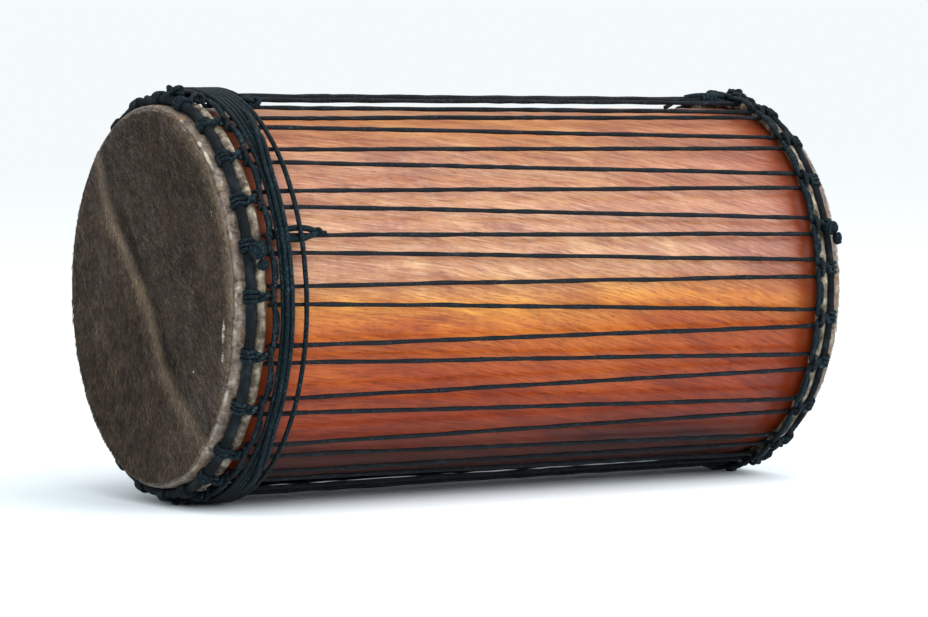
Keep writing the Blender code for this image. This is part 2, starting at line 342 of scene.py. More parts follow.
# A cord's section: number of sides, where it starts to turn from, how far its closed ends stand out
SIDES = 14
ANY_DIRECTION = (0.31, 0.52, 0.80)
CORD_END = 0.0004


def cord_frame(p, closed, phase):
    """Directions along and across a cord at each of its points, and the distances between them."""
    n = len(p)
    if closed:
        step = np.roll(p, -1, 0) - p
        before = np.roll(step, 1, 0)
    else:
        step = np.vstack([np.diff(p, axis=0), p[-1:] - p[-2:-1]])
        before = np.vstack([step[:1], step[:-1]])
    length = np.linalg.norm(step, axis=1, keepdims=True)
    t = unit(step / length + unit(before))
    normal = np.zeros_like(t)
    v = np.array(ANY_DIRECTION)
    for i in range(n):
        v = v - t[i] * v.dot(t[i])
        v = v / math.sqrt(v.dot(v))
        normal[i] = v
    if phase is not None:
        normal = outward(p)
        normal = unit(normal - t * np.sum(t * normal, axis=1, keepdims=True))
    side = np.cross(t, normal)
    if phase is not None:
        normal, side = swing(normal, side, phase)
    if closed:
        w = v - t[0] * v.dot(t[0])
        turn = math.atan2(w.dot(side[0]), w.dot(normal[0]))
        normal, side = swing(normal, side, -turn * np.arange(n) / n)
    return t, length, normal, side


class Cords:
    """Collects tubes swept along paths into one mesh, with u along the cord and v round it."""

    def __init__(self):
        self.co, self.quads, self.tris, self.uv, self.count = [], [], [], [], 0

    def add(self, path, radius, closed=False, flat=0.0, phase=None):
        """flat squeezes the round section; phase turns it along the cord, measured from the outward side."""
        p = np.asarray(path, float)
        n = len(p)
        t, length, normal, side = cord_frame(p, closed, phase)
        angle = (2 * np.pi * np.arange(SIDES) / SIDES)[None, :, None]
        ring = normal[:, None] * np.cos(angle) * (1 + flat) + side[:, None] * np.sin(angle) * (1 - flat)
        r = np.broadcast_to(np.asarray(radius, float), (n,))[:, None, None]
        co = p[:, None] + ring * r
        u = np.concatenate([[0.0], np.cumsum(length[:-1, 0])])
        self.quads.append(grid_quads(n, SIDES, closed) + self.count)
        self.uv.append(grid_uv(u, np.arange(SIDES + 1) / SIDES, closed, u[-1] + length[-1, 0]))
        self.co.append(co.reshape(-1, 3))
        if not closed:
            base = self.count + n * SIDES
            self.co.append(np.array([p[0] - t[0] * CORD_END, p[-1] + t[-1] * CORD_END]))
            j = np.arange(SIDES)
            j2 = (j + 1) % SIDES
            last = self.count + (n - 1) * SIDES
            self.tris.append(np.stack([np.full(SIDES, base), self.count + j2, self.count + j], -1))
            self.tris.append(np.stack([np.full(SIDES, base + 1), last + j, last + j2], -1))
            self.count += 2
        self.count += n * SIDES

    def build(self, name, mat):
        tris = np.concatenate(self.tris) if self.tris else None
        co, quads, uv = (np.concatenate(rows) for rows in (self.co, self.quads, self.uv))
        return make_mesh(name, mat, co, quads, uv, tris)


def wobble(path, amount, length, seed):
    """Small wanderings of a hand-laid cord."""
    p = np.asarray(path, float)
    offsets = [fbm(p, 1.0 / length, seed + 101 * k, 2) for k in range(3)]
    return p + np.stack(offsets, -1) * amount


def revolve(name, profile, segments, shape, mat, closed=True, attributes=None, uv=None):
    """Turn (s, radius) rows about the axis, and move the points by shape(points, degrees)."""
    prof = np.asarray(profile, float)
    degrees = 360.0 * np.arange(segments) / segments
    co = around(prof[:, :1], prof[:, 1:], degrees[None, :])
    co = shape(co, degrees)
    quads = grid_quads(len(prof), segments, closed)
    lengths = np.linalg.norm(np.diff(prof, axis=0, append=prof[:1]), axis=1)
    u = np.concatenate([[0.0], np.cumsum(lengths[:-1])])
    v = np.radians(360.0 * np.arange(segments + 1) / segments) * SHELL_RADIUS
    corner_uv = grid_uv(u, v, closed, u[-1] + lengths[-1])
    if uv is not None:
        corner_uv = uv(co).reshape(-1, 2)[quads.ravel()]
    values = attributes(co) if attributes else None
    return make_mesh(name, mat, co.reshape(-1, 3), quads, corner_uv, attributes=values)


def outward(co):
    """Unit radial directions of points on the drum's axes."""
    r = co.copy()
    r[..., 0] = 0.0
    return r / np.maximum(np.linalg.norm(r, axis=-1, keepdims=True), 1e-9)


# ---- materials


def scaled(colour, by):
    """A colour made lighter or darker."""
    return tuple(by * v for v in colour)


class Nodes:
    """A short way to write a node tree: n(type, inputs, settings) returns the node."""

    def __init__(self, name):
        self.mat = bpy.data.materials.new(name)
        self.mat.use_nodes = True
        self.tree = self.mat.node_tree
        self.shader = self.tree.nodes["Principled BSDF"]

    def __call__(self, kind, inputs=None, **settings):
        node = self.tree.nodes.new("ShaderNode" + kind)
        for key, value in settings.items():
            setattr(node, key, value)
        for key, value in (inputs or {}).items():
            self.put(node.inputs[key], value)
        return node

    def put(self, socket, value):
        if hasattr(value, "outputs"):
            value = value.outputs[0]
        if hasattr(value, "is_output"):
            self.tree.links.new(value, socket)
        elif socket.type == "RGBA" and isinstance(value, (int, float)):
            socket.default_value = (value, value, value, 1.0)
        elif socket.type == "RGBA" and len(value) == 3:
            socket.default_value = (*value, 1.0)
        else:
            socket.default_value = value

    def math(self, operation, a, b=0.0, clamp=False):
        return self("Math", {0: a, 1: b}, operation=operation, use_clamp=clamp)

    def times(self, a, b):
        return self.math("MULTIPLY", a, b)

    def plus(self, a, b, clamp=False):
        return self.math("ADD", a, b, clamp)

    def mix(self, factor, a, b, blend="MIX"):
        inputs = {"Factor": factor, 6: a, 7: b}
        return self("Mix", inputs, data_type="RGBA", blend_type=blend, clamp_factor=True).outputs[2]

    def ramp(self, value, *stops):
        node = self("ValToRGB", {0: value})
        elements = node.color_ramp.elements
        while len(elements) < len(stops):
            elements.new(0.5)
        for element, (position, colour) in zip(elements, stops):
            element.position = position
            element.color = (*colour, 1.0) if isinstance(colour, tuple) else (colour,) * 3 + (1.0,)
        return node.outputs[0]

    def noise(self, vector, scale, detail=3.0, rough=0.55, distortion=0.0):
        inputs = {"Vector": vector, "Scale": scale, "Detail": detail}
        return self("TexNoise", {**inputs, "Roughness": rough, "Distortion": distortion}).outputs[0]

    def grain(self, vector, scale, detail=3.0, rough=0.55, distortion=0.0, location=(0, 0, 0)):
        """Noise with a scale for each axis."""
        stretched = self("Mapping", {"Vector": vector, "Scale": scale, "Location": location})
        return self.noise(stretched, 1.0, detail, rough, distortion)

    def coords(self):
        return self("TexCoord").outputs["Object"]

    def uv(self):
        return self("UVMap", uv_map="UVMap").outputs[0]

    def dot(self, vector, axis):
        node = self("VectorMath", {0: vector, 1: tuple(axis)}, operation="DOT_PRODUCT")
        return node.outputs["Value"]

    def attribute(self, key):
        return self("Attribute", attribute_name=key).outputs["Fac"]

    def rise(self, value, low, high, top=1.0):
        """0 up to low, then growing to top at high."""
        return self.ramp(value, (low, 0.0), (high, top))

    def bump(self, height, strength, distance):
        return self("Bump", {"Height": height, "Strength": strength, "Distance": distance}).outputs[0]

    def finish(self, colour, roughness, normal=None, **fixed):
        self.put(self.shader.inputs["Base Color"], colour)
        self.put(self.shader.inputs["Roughness"], roughness)
        if normal is not None:
            self.put(self.shader.inputs["Normal"], normal)
        for key, value in fixed.items():
            self.shader.inputs[key.replace("_", " ")].default_value = value
        return self.mat


def wood_material():
    """Oiled hardwood: interlocked grain winding round the log, flame figure, painted shade at the foot and a
    painted sheen above it, darker rear end.
    """
    n = Nodes("oiled_redwood")
    p = n.coords()
    local = n("VectorMath", {0: p, 1: tuple(MIDDLE)}, operation="SUBTRACT")
    along, height = n.dot(local, AXIS), n.dot(local, UP)
    drift = n.grain(p, (3.0, 7.0, 7.0), 2.0)
    wind = n.times(along, n.plus(n.times(along, 1.5), 1.4))
    wind = n.times(n.plus(wind, n.times(drift, 0.22)), -1.0)
    wound = {"Vector": local, "Axis": tuple(AXIS), "Center": (0.0, 0.0, 0.0), "Angle": wind}
    g = n("VectorRotate", wound, rotation_type="AXIS_ANGLE").outputs[0]
    flames = n.grain(g, (10.0, 42.0, 42.0), 3.0, 0.6, 0.6)
    streaks = n.grain(g, (17.0, 150.0, 150.0), 3.0, 0.6, 0.4, location=(1.3, 0.0, 2.1))
    lines = n.grain(g, (40.0, 620.0, 620.0), 2.0, 0.6)
    pores = n.grain(g, (130.0, 1500.0, 1500.0), 1.0)
    patches = n.grain(g, (5.0, 12.0, 12.0), 2.0, location=(3.1, 1.7, 0.4))
    ripple = n.grain(g, (120.0, 30.0, 30.0), 2.0, 0.5, location=(0.0, 4.0, 1.0))
    value = n.plus(n.times(flames, 0.52), n.times(streaks, 0.36))
    value = n.plus(value, n.times(patches, 0.12))
    base = n.ramp(
        value,
        (0.22, (0.130, 0.022, 0.008)),
        (0.38, (0.270, 0.056, 0.014)),
        (0.51, (0.415, 0.109, 0.024)),
        (0.65, (0.540, 0.180, 0.042)),
        (0.84, (0.680, 0.300, 0.095)),
    )
    base = n.mix(n.ramp(lines, (0.30, 0.55), (0.50, 0.0)), base, (0.130, 0.026, 0.010))
    base = n.mix(n.rise(lines, 0.56, 0.74, 0.30), base, (0.700, 0.340, 0.120))
    base = n.mix(n.ramp(pores, (0.30, 0.60), (0.40, 0.0)), base, (0.070, 0.018, 0.008))
    base = n.mix(n.rise(ripple, 0.50, 0.75, 0.06), base, (0.620, 0.330, 0.150))
    # Painted shade darkens the foot of the drum as it lies, and a painted sheen lightens its upper half
    shading_height = n.plus(n.times(height, 0.5 / SHELL_RADIUS), 0.5, clamp=True)
    shading_height = n.plus(shading_height, n.times(n.math("SUBTRACT", patches, 0.5), 0.14))
    base = n.mix(1.0, base, n.ramp(shading_height, *WOOD_SHADE_AND_SHEEN), "MULTIPLY")
    lengthwise = n.plus(n.times(along, 1.0 / LENGTH), 0.5, clamp=True)
    base = n.mix(1.0, base, n.ramp(lengthwise, *WOOD_LENGTHWISE), "MULTIPLY")
    end = n.attribute("near_end")
    base = n.mix(n.times(end, 0.85), base, (0.170, 0.020, 0.002))
    n.put(n.shader.inputs["Coat Weight"], n.times(n.math("SUBTRACT", 1.0, end), 0.22))
    rough = n.ramp(n.grain(g, (9.0, 40.0, 40.0), 3.0), (0.3, 0.30), (0.7, 0.46))
    relief = n.plus(n.times(lines, 0.5), n.times(pores, 0.7))
    normal = n.bump(relief, 0.25, 0.0004)
    return n.finish(base, rough, normal, Coat_Roughness=0.24, Specular_IOR_Level=0.22)


# Strands round a braided cord, the length of one crossing, and the pitch of the cotton's threads
BRAID_STRANDS = 7
BRAID_PITCH = 0.0034
WEAVE_PITCH = 0.0008


def cord_material(name, dark, light, worn, worn_share, sheen=(0.50, 0.80, 1.0)):
    """Braided nylon cord: crossing strands from u along and v round it, with frayed, greyed fibres."""
    n = Nodes(name)
    uv = n.uv()
    parts = n("SeparateXYZ", {0: uv})
    along, across = parts.outputs[0], parts.outputs[1]
    turns = n.times(across, math.tau * BRAID_STRANDS)
    runs = n.times(along, math.tau / BRAID_PITCH)
    one = n.math("SINE", n.plus(turns, runs))
    two = n.math("SINE", n.math("SUBTRACT", turns, runs))
    height = n.plus(n.times(n.times(one, two), 0.5), 0.5)
    p = n.coords()
    fibres = n.grain(uv, (900.0, 22.0, 1.0), 3.0, 0.7)
    flecks = n.noise(p, 460.0, 2.0, 0.7)
    dirt = n.noise(p, 70.0, 4.0, 0.65)
    patch = n.noise(p, 13.0, 3.0, 0.6)
    colour = n.mix(n.rise(height, 0.2, 0.85), dark, light)
    bluer = (dark[0] * 0.6, dark[1] * 0.75, dark[2])
    colour = n.mix(n.rise(patch, 0.35, 0.7, 0.6), colour, bluer)
    colour = n.mix(n.rise(fibres, 0.55, 0.80, 0.55), colour, scaled(light, 2.6))
    wear = n.times(n.ramp(dirt, (0.40, 0.15), (0.62, 1.0)), n.ramp(height, (0.3, 0.35), (0.9, 1.0)))
    wear = n.times(wear, n.rise(flecks, 0.50, 0.60))
    colour = n.mix(n.times(wear, worn_share), colour, worn)
    relief = n.plus(height, n.times(fibres, 0.5))
    normal = n.bump(relief, 0.9, 0.00050)
    rough = n.ramp(dirt, (0.3, 0.42), (0.7, 0.66))
    return n.finish(colour, rough, normal, Specular_IOR_Level=0.14, Specular_Tint=(*sheen, 1.0))


def cloth_material():
    """Navy cotton strip: fine plain weave with a slight fade in patches."""
    n = Nodes("navy_cotton_strip")
    uv = n.uv()
    parts = n("SeparateXYZ", {0: uv})
    warp = n.math("SINE", n.times(parts.outputs[0], math.tau / WEAVE_PITCH))
    weft = n.math("SINE", n.times(parts.outputs[1], math.tau / WEAVE_PITCH))
    weave = n.times(warp, weft)
    p = n.coords()
    fade = n.noise(p, 40.0, 4.0, 0.6)
    fuzz = n.noise(p, 900.0, 2.0)
    colour = n.ramp(
        fade,
        (0.36, (0.0025, 0.0034, 0.0045)),
        (0.54, (0.0050, 0.0070, 0.0092)),
        (0.72, (0.020, 0.026, 0.031)),
    )
    colour = n.mix(n.rise(fuzz, 0.5, 0.9, 0.4), colour, (0.045, 0.056, 0.064))
    normal = n.bump(n.plus(n.times(weave, 0.4), fuzz), 0.5, 0.0003)
    return n.finish(colour, 0.85, normal, Specular_IOR_Level=0.10)


def hide_material(name, dark, mid, light, lit_fringe_colour):
    """Hair-on hide over the face, shaved and weathered skin on the rim. Masks come from the mesh."""
    n = Nodes(name)
    uv = n.uv()
    p = n.coords()
    mask = n.attribute
    hair_fine = n.grain(uv, (230.0, 1500.0, 1.0), 3.0, 0.7)
    hair_mid = n.grain(uv, (95.0, 460.0, 1.0), 3.0, 0.62, 0.8)
    tufts = n.grain(uv, (40.0, 130.0, 1.0), 3.0, 0.6, 0.8)
    broad = n.noise(p, 13.0, 3.0, 0.5)
    value = n.plus(n.times(hair_fine, 0.44), n.times(hair_mid, 0.32))
    value = n.plus(value, n.times(tufts, 0.24))
    hair = n.ramp(value, (0.42, dark), (0.50, mid), (0.59, light))
    hair = n.mix(n.rise(broad, 0.42, 0.70, 0.35), hair, dark)
    stripe = n.times(mask("stripe"), n.ramp(hair_mid, (0.32, 0.35), (0.62, 1.0)))
    hair = n.mix(n.times(stripe, 0.85), hair, scaled(light, 1.80))
    # Painted shade in the valley beside the stripe
    hair = n.mix(n.times(mask("valley"), 0.65), hair, scaled(dark, 0.55))
    # Painted light: the rim's hair made lighter and warmer on the side towards the window
    fringe = n.times(mask("fringe"), n.ramp(hair_mid, (0.30, 0.25), (0.60, 1.0)))
    hair = n.mix(n.times(fringe, 0.85), hair, lit_fringe_colour)
    # A dark line along the crease at the rim
    crack = n.times(mask("crack"), n.ramp(tufts, (0.30, 0.4), (0.60, 1.0)))
    # Painted highlight along the rounded rim
    glint = n.times(mask("glint"), n.rise(n.noise(p, 60.0, 4.0, 0.65), 0.50, 0.66))

    mottle = n.noise(p, 130.0, 5.0, 0.70)
    stains = n.noise(p, 30.0, 4.0, 0.6)
    skin = n.ramp(
        mottle,
        (0.38, (0.046, 0.033, 0.027)),
        (0.47, (0.135, 0.106, 0.084)),
        (0.56, (0.190, 0.156, 0.122)),
        (0.68, (0.370, 0.318, 0.250)),
    )
    skin = n.mix(n.rise(stains, 0.44, 0.68, 0.7), skin, (0.105, 0.078, 0.078))
    skin = n.mix(n.rise(n.noise(p, 62.0, 3.0), 0.54, 0.68, 0.6), skin, (0.200, 0.110, 0.050))
    creases = n.noise(uv, 260.0, 3.0, 0.6, 1.2)
    skin = n.mix(n.ramp(creases, (0.34, 0.5), (0.43, 0.0)), skin, (0.060, 0.042, 0.034))
    lap = n.ramp(
        n.noise(p, 85.0, 5.0, 0.65),
        (0.36, (0.030, 0.024, 0.018)),
        (0.46, (0.080, 0.064, 0.047)),
        (0.55, (0.175, 0.147, 0.110)),
        (0.68, (0.390, 0.340, 0.262)),
    )
    skin = n.mix(mask("lap"), skin, lap)
    edge_noise = n.times(n.math("SUBTRACT", hair_mid, 0.5), 0.9)
    hairy = n.plus(mask("hair"), edge_noise)
    covered = n.rise(hairy, 0.42, 0.58)
    colour = n.mix(covered, skin, hair)
    colour = n.mix(n.times(glint, 0.75), colour, (0.420, 0.385, 0.320))
    colour = n.mix(n.times(crack, 0.85), colour, (0.020, 0.013, 0.010))
    bare = n.plus(mask("bare"), n.times(edge_noise, 0.9))
    pale = n.ramp(mottle, (0.35, (0.330, 0.290, 0.200)), (0.65, (0.520, 0.480, 0.370)))
    colour = n.mix(n.rise(bare, 0.45, 0.60), colour, pale)
    relief = n.mix(covered, mottle, n.plus(hair_fine, hair_mid))
    normal = n.bump(relief, 0.70, 0.0008)
    rough = n.mix(n.rise(hairy, 0.4, 0.6), 0.62, 0.72)
    return n.finish(colour, rough, normal, Specular_IOR_Level=0.15)


def hair_material(name, dark, light):
    """Single hairs, from dark to light by the tone carried on the mesh."""
    n = Nodes(name)
    tone = n.attribute("tone")
    middle = tuple(0.62 * a + 0.38 * b for a, b in zip(dark, light))
    colour = n.ramp(tone, (0.0, dark), (0.45, middle), (1.0, light))
    shade = n.noise(n.coords(), 60.0, 2.0)
    colour = n.mix(n.ramp(shade, (0.40, 0.45), (0.60, 0.0)), colour, dark)
    return n.finish(colour, 0.62, Specular_IOR_Level=0.22)


def iron_material(name):
    """Black iron with some rust, mostly hidden."""
    n = Nodes(name)
    p = n.coords()
    rust = n.noise(p, 120.0, 4.0)
    colour = n.mix(n.rise(rust, 0.45, 0.65), (0.05, 0.05, 0.055), (0.12, 0.05, 0.025))
    normal = n.bump(rust, 0.4, 0.0004)
    return n.finish(colour, n.ramp(rust, (0.3, 0.4), (0.7, 0.8)), normal, Metallic=0.8)


# ---- shell


# Rows along the shell's outside and its bore, and segments round it
OUTSIDE_ROWS, BORE_ROWS, SHELL_SEGMENTS = 120, 12, 288


def arc(radius, start, end, count):
    a = np.radians(np.linspace(start, end, count))
    return np.stack([radius * np.cos(a), radius * np.sin(a)], -1)


def build_shell(mat):
    """The turned log, with the slight unevenness of hand finishing kept inside the CAD's surface."""
    inner_depth = HIDE + GAP
    rims = []
    for end in (FRONT, REAR):
        outer = SHELL_RADIUS - end.less
        centre = np.array([inner_depth + EDGE_ROUND, outer - EDGE_ROUND])
        rim = centre + arc(EDGE_ROUND, 180, 90, 9)
        inside = [(inner_depth + 0.005, outer - SHELL_WALL), (inner_depth, outer - SHELL_WALL + 0.004)]
        rim = np.vstack([inside, rim])
        rim[:, 0] = end.s(rim[:, 0])
        rims.append(rim)
    start, finish = rims[0][-1], rims[1][-1]
    outside = start + (finish - start) * np.linspace(0, 1, OUTSIDE_ROWS + 2)[1:-1, None]
    bore = rims[1][0] + (rims[0][0] - rims[1][0]) * np.linspace(0, 1, BORE_ROWS + 2)[1:-1, None]
    profile = np.vstack([rims[0], outside, rims[1][::-1], bore])

    def shape(co, degrees):
        r = np.linalg.norm(co[..., 1:], axis=-1)
        worked = smoothstep(SHELL_RADIUS - 0.012, SHELL_RADIUS - 0.008, r)
        dents = 0.5 + 0.5 * fbm(co, np.array([5.0, 13.0, 13.0]), 3, 3)
        ripple = 0.5 + 0.5 * fbm(co, np.array([60.0, 25.0, 25.0]), 9, 2)
        return co - outward(co) * (worked * (0.0006 * dents + 0.00012 * ripple))[..., None]

    def attributes(co):
        s = np.abs(co[..., 0])
        ragged = fbm(co, 40.0, 21, 3) * 0.010
        return {"near_end": smoothstep(LENGTH / 2 - 0.075, LENGTH / 2 - 0.030, s + ragged)}

    obj = revolve("shell_turned", profile, SHELL_SEGMENTS, shape, mat, attributes=attributes)
    stand_in(obj, "shell_body", "shell")


# ---- hides

# The lie of the front hide's hair, as (y, z) directions
HAIR_DIRECTION = np.array([-0.697, -0.717])
HAIR_ACROSS = np.array([0.717, -0.697])
# The line of the back of the animal on the front hide
DORSAL_ALONG = (-0.1656, -0.1173, -0.0536, 0.0079, 0.0689, 0.1226, 0.1818)
DORSAL_ACROSS = (-0.0076, 0.0087, 0.0092, 0.0091, 0.0238, 0.0174, 0.0038)
# The pale stripe and the painted shade of the valley beside it: where they run, across the dorsal line
STRIPE_AT, SHADED_VALLEY_AT = 0.001, -0.0145
# Centre (y, z), half sizes and turn in radians of the worn spots on the front hide
BARE_PATCHES = (
    (-0.1556, -0.0250, 0.0034, 0.0130, -0.12),
    (-0.1536, -0.0470, 0.0028, 0.0060, -0.20),
    (-0.1020, 0.1435, 0.0012, 0.0050, 0.94),
    (-0.1182, 0.1306, 0.0013, 0.0105, 0.83),
    (-0.1318, 0.0800, 0.0012, 0.0050, 0.54),
    (-0.0938, -0.0642, 0.0014, 0.0016, 0.0),
)
# A hair's length and half thickness, from least to most
HAIR_LENGTH = (0.0045, 0.0095)
HAIR_THICK = (0.00015, 0.00027)
# A hair's points: three at its root, three at its middle and one at its tip
HAIR_POINTS = 7


def hair_axes(co):
    """Distances along and across the lie of the hair."""
    y, z = co[..., 1], co[..., 2]
    return (y * a + z * b for a, b in (HAIR_DIRECTION, HAIR_ACROSS))


def window_side(co):
    """How far a point of the face lies towards the side lit by the window, from -1 to 1."""
    y, z = co[..., 1], co[..., 2]
    return (-y * 0.93 + z * 0.37) / np.maximum(np.hypot(y, z), 1e-6)


def stripe_offset(co):
    """Distance across the dorsal line of the front hide, positive towards the lower +Y side."""
    along, across = hair_axes(co)
    return across - np.interp(along, DORSAL_ALONG, DORSAL_ACROSS)


def hair_flow(co):
    """Stretched hair coordinates: u along the hair, v across it, spreading from the dorsal line."""
    a, b = hair_axes(co)
    return np.stack([a + 0.5 * np.abs(b), b / (1.0 + 1.1 * (a + 0.2))], -1)


def hide_profile(end, radial):
    """The skin as one closed line: face, crease, collar and lap outside, then back along the inside."""
    outer = SHELL_RADIUS - end.less
    centre = np.array([HIDE + GAP + EDGE_ROUND, outer - EDGE_ROUND])
    hoop = np.array([FLESH_DEPTH, FLESH_RADIUS - end.less])
    face_r = centre[1] * np.linspace(0.0, 1.0, radial) ** 0.8
    face_r[0] = 0.0006
    face = np.stack([np.zeros(radial), face_r], -1)[:-1]
    crease = centre + arc(EDGE_ROUND + GAP + HIDE, 180, 90, 12)
    top = crease[-1, 1]
    collar = np.stack([np.linspace(crease[-1, 0], COLLAR_END, 11)[1:], np.full(10, top)], -1)
    lap_inside = hoop + arc(LAP_INNER, -90, 212, 12)
    lap = hoop + arc(LAP_OUTER, 212, -90, 34)
    under = np.array([[COLLAR_END + 0.001, top - HIDE], [0.0150, top - HIDE], [0.0100, top - HIDE]])
    turn = (centre + arc(EDGE_ROUND + GAP, 180, 90, 6))[::-1]
    inside = np.stack([np.full(5, HIDE), centre[1] * np.array([0.85, 0.6, 0.35, 0.12, 0.0])], -1)
    inside[-1, 1] = 0.0006
    line = np.vstack([face, crease, collar, lap_inside, lap, under, turn, inside])
    line[:, 0] = end.s(line[:, 0])
    rim_rows = len(face) + len(crease) + len(collar)
    return line, len(face), rim_rows, slice(rim_rows + 12, rim_rows + 12 + len(lap))


def hitch_closeness(end, co):
    """1 in the middle of each hitch, falling to 0 a few millimetres to its side."""
    degrees = np.degrees(np.arctan2(co[..., 2], -co[..., 1]))
    close = np.zeros_like(degrees)
    for k in range(HITCHES):
        away = (degrees - end.hitch(k) + 180.0) % 360.0 - 180.0
        close = np.maximum(close, bell(np.radians(away) * FLESH_RADIUS, 0.0, 0.0055))
    return close


def hide_relief(end, rows, depth):
    """A function that lays hair clumps, lumps, pleats and folds on the skin."""
    n_face, n_rim, lap_rows = rows
    rim = SHELL_RADIUS - end.less

    def shape(co, degrees):
        flow = hair_flow(co)
        flat = np.zeros(flow.shape[:-1] + (1,))
        clumps = value_noise(np.concatenate([flow * [28.0, 150.0], flat + 5.7], -1), 8)
        streaks = value_noise(np.concatenate([flow * [60.0, 300.0], flat + 0.3], -1), 5)
        sag = fbm(co, 9.0, 12, 2)
        radius = np.linalg.norm(co[..., 1:], axis=-1)
        inner = smoothstep(rim + 0.001, rim - 0.006, radius)
        out = outward(co)
        lift = clumps * 0.00030 + streaks * 0.00014 + sag * 0.0005 * inner
        nick = np.maximum(0, fbm(co, 120.0, 43, 3) - 0.12) * 0.0034
        lumps = fbm(co, 55.0, 31, 4) * 0.0007 + fbm(co, 230.0, 37, 2) * 0.00025
        ring = degrees[None, :] + 0 * radius
        pleat = value_noise(np.stack([ring * 0.6, depth * 60 + 0 * ring, 0 * ring], -1), 41)
        lumps = lumps + np.maximum(0, pleat) * 0.0007 * smoothstep(0.003, 0.010, depth)
        folds = np.maximum(0, fbm(co, 130.0, 53, 3) - 0.05) * 0.0018
        lap_push = fbm(co, 60.0, 47, 3) * 0.0007 + fbm(co, 320.0, 57, 2) * 0.00018 - folds
        lap_push = lap_push - hitch_closeness(end, co) * 0.0012
        co = co.copy()
        co[:n_face, :, 0] += end.side * lift[:n_face]
        corner = slice(n_face - 1, n_face + 8)
        co[corner, :, 0] -= end.side * (nick + lumps * 0.5)[corner]
        skin = slice(n_face + 3, n_rim)
        co[skin] += out[skin] * lumps[skin][..., None]
        co[lap_rows] += out[lap_rows] * lap_push[lap_rows][..., None]
        return co

    return shape


def bare_patches(y, z):
    """1 inside the worn spots of the front hide, falling to 0 at their edges."""
    bare = np.zeros_like(y)
    for cy, cz, wide, tall, turn in BARE_PATCHES:
        u = (y - cy) * math.cos(turn) - (z - cz) * math.sin(turn)
        v = (y - cy) * math.sin(turn) + (z - cz) * math.cos(turn)
        bare = np.maximum(bare, np.exp(-((u / wide) ** 2 + (v / tall) ** 2)))
    return bare


def hide_masks(end, rows):
    """A function giving the masks that the skin's look is made from."""
    n_face, n_rim, _ = rows
    rim = SHELL_RADIUS - end.less

    def attributes(co):
        y, z = co[..., 1], co[..., 2]
        r = np.hypot(y, z)
        d = stripe_offset(co)
        a, _ = hair_axes(co)
        rows = np.arange(len(co))[:, None] + 0 * r
        ragged = fbm(co, 45.0, 61, 4) * 0.004
        hair = smoothstep(rim - 0.0010, rim - 0.0050, r + ragged) * (rows < n_face + 6)
        uneven = fbm(co, 22.0, 67, 3)
        width = 0.0075 + 0.0035 * smoothstep(-0.1, 0.15, a)
        fading = 1.0 - 0.50 * smoothstep(0.0, 0.14, a)
        stripe = bell(d, STRIPE_AT, width) * (0.75 + 0.5 * uneven) * fading
        # Painted shade along the valley beside the stripe
        valley = bell(d, SHADED_VALLEY_AT, 0.0085) * (0.75 + 0.6 * uneven)
        toward = window_side(co)
        # Painted highlight on the rounded rim, stronger on the side towards the window
        side = smoothstep(-0.35, 0.65, toward)
        # Painted light: a lighter fringe of hair near the rim on the side towards the window
        fringe = smoothstep(rim - 0.024, rim - 0.005, r + 2.0 * ragged) * smoothstep(0.45, 0.95, toward)
        edge_at = r + fbm(co, 35.0, 83, 3) * 0.0016
        # A dark line along the crease where the hide turns over the rim
        crack = bell(edge_at, rim - 0.0012, 0.0007) * (rows < n_face + 6)
        glint = bell(edge_at, rim + 0.0006, 0.0011) * (rows < n_face + 8) * (0.4 + 0.6 * side)
        bare = bare_patches(y, z) if end is FRONT else np.zeros_like(r)
        lap = (rows >= n_rim - 2).astype(float)
        names = ("hair", "stripe", "valley", "fringe", "bare", "lap", "crack", "glint")
        return dict(zip(names, (hair, stripe, valley, fringe, bare, lap, crack, glint)))

    return attributes


def build_hide(end, mat, segments, radial):
    """The skin of one head: face, collar and lap."""
    line, *rows = hide_profile(end, radial)
    depth = (LENGTH / 2 - np.abs(line[:, 0]))[:, None]
    relief, masks = hide_relief(end, rows, depth), hide_masks(end, rows)
    name = end.word + "_hide"
    obj = revolve(name + "_skin", line, segments, relief, mat, False, masks, hair_flow)
    edit_faces(obj, fill=True)
    stand_in(obj, end.body, name)


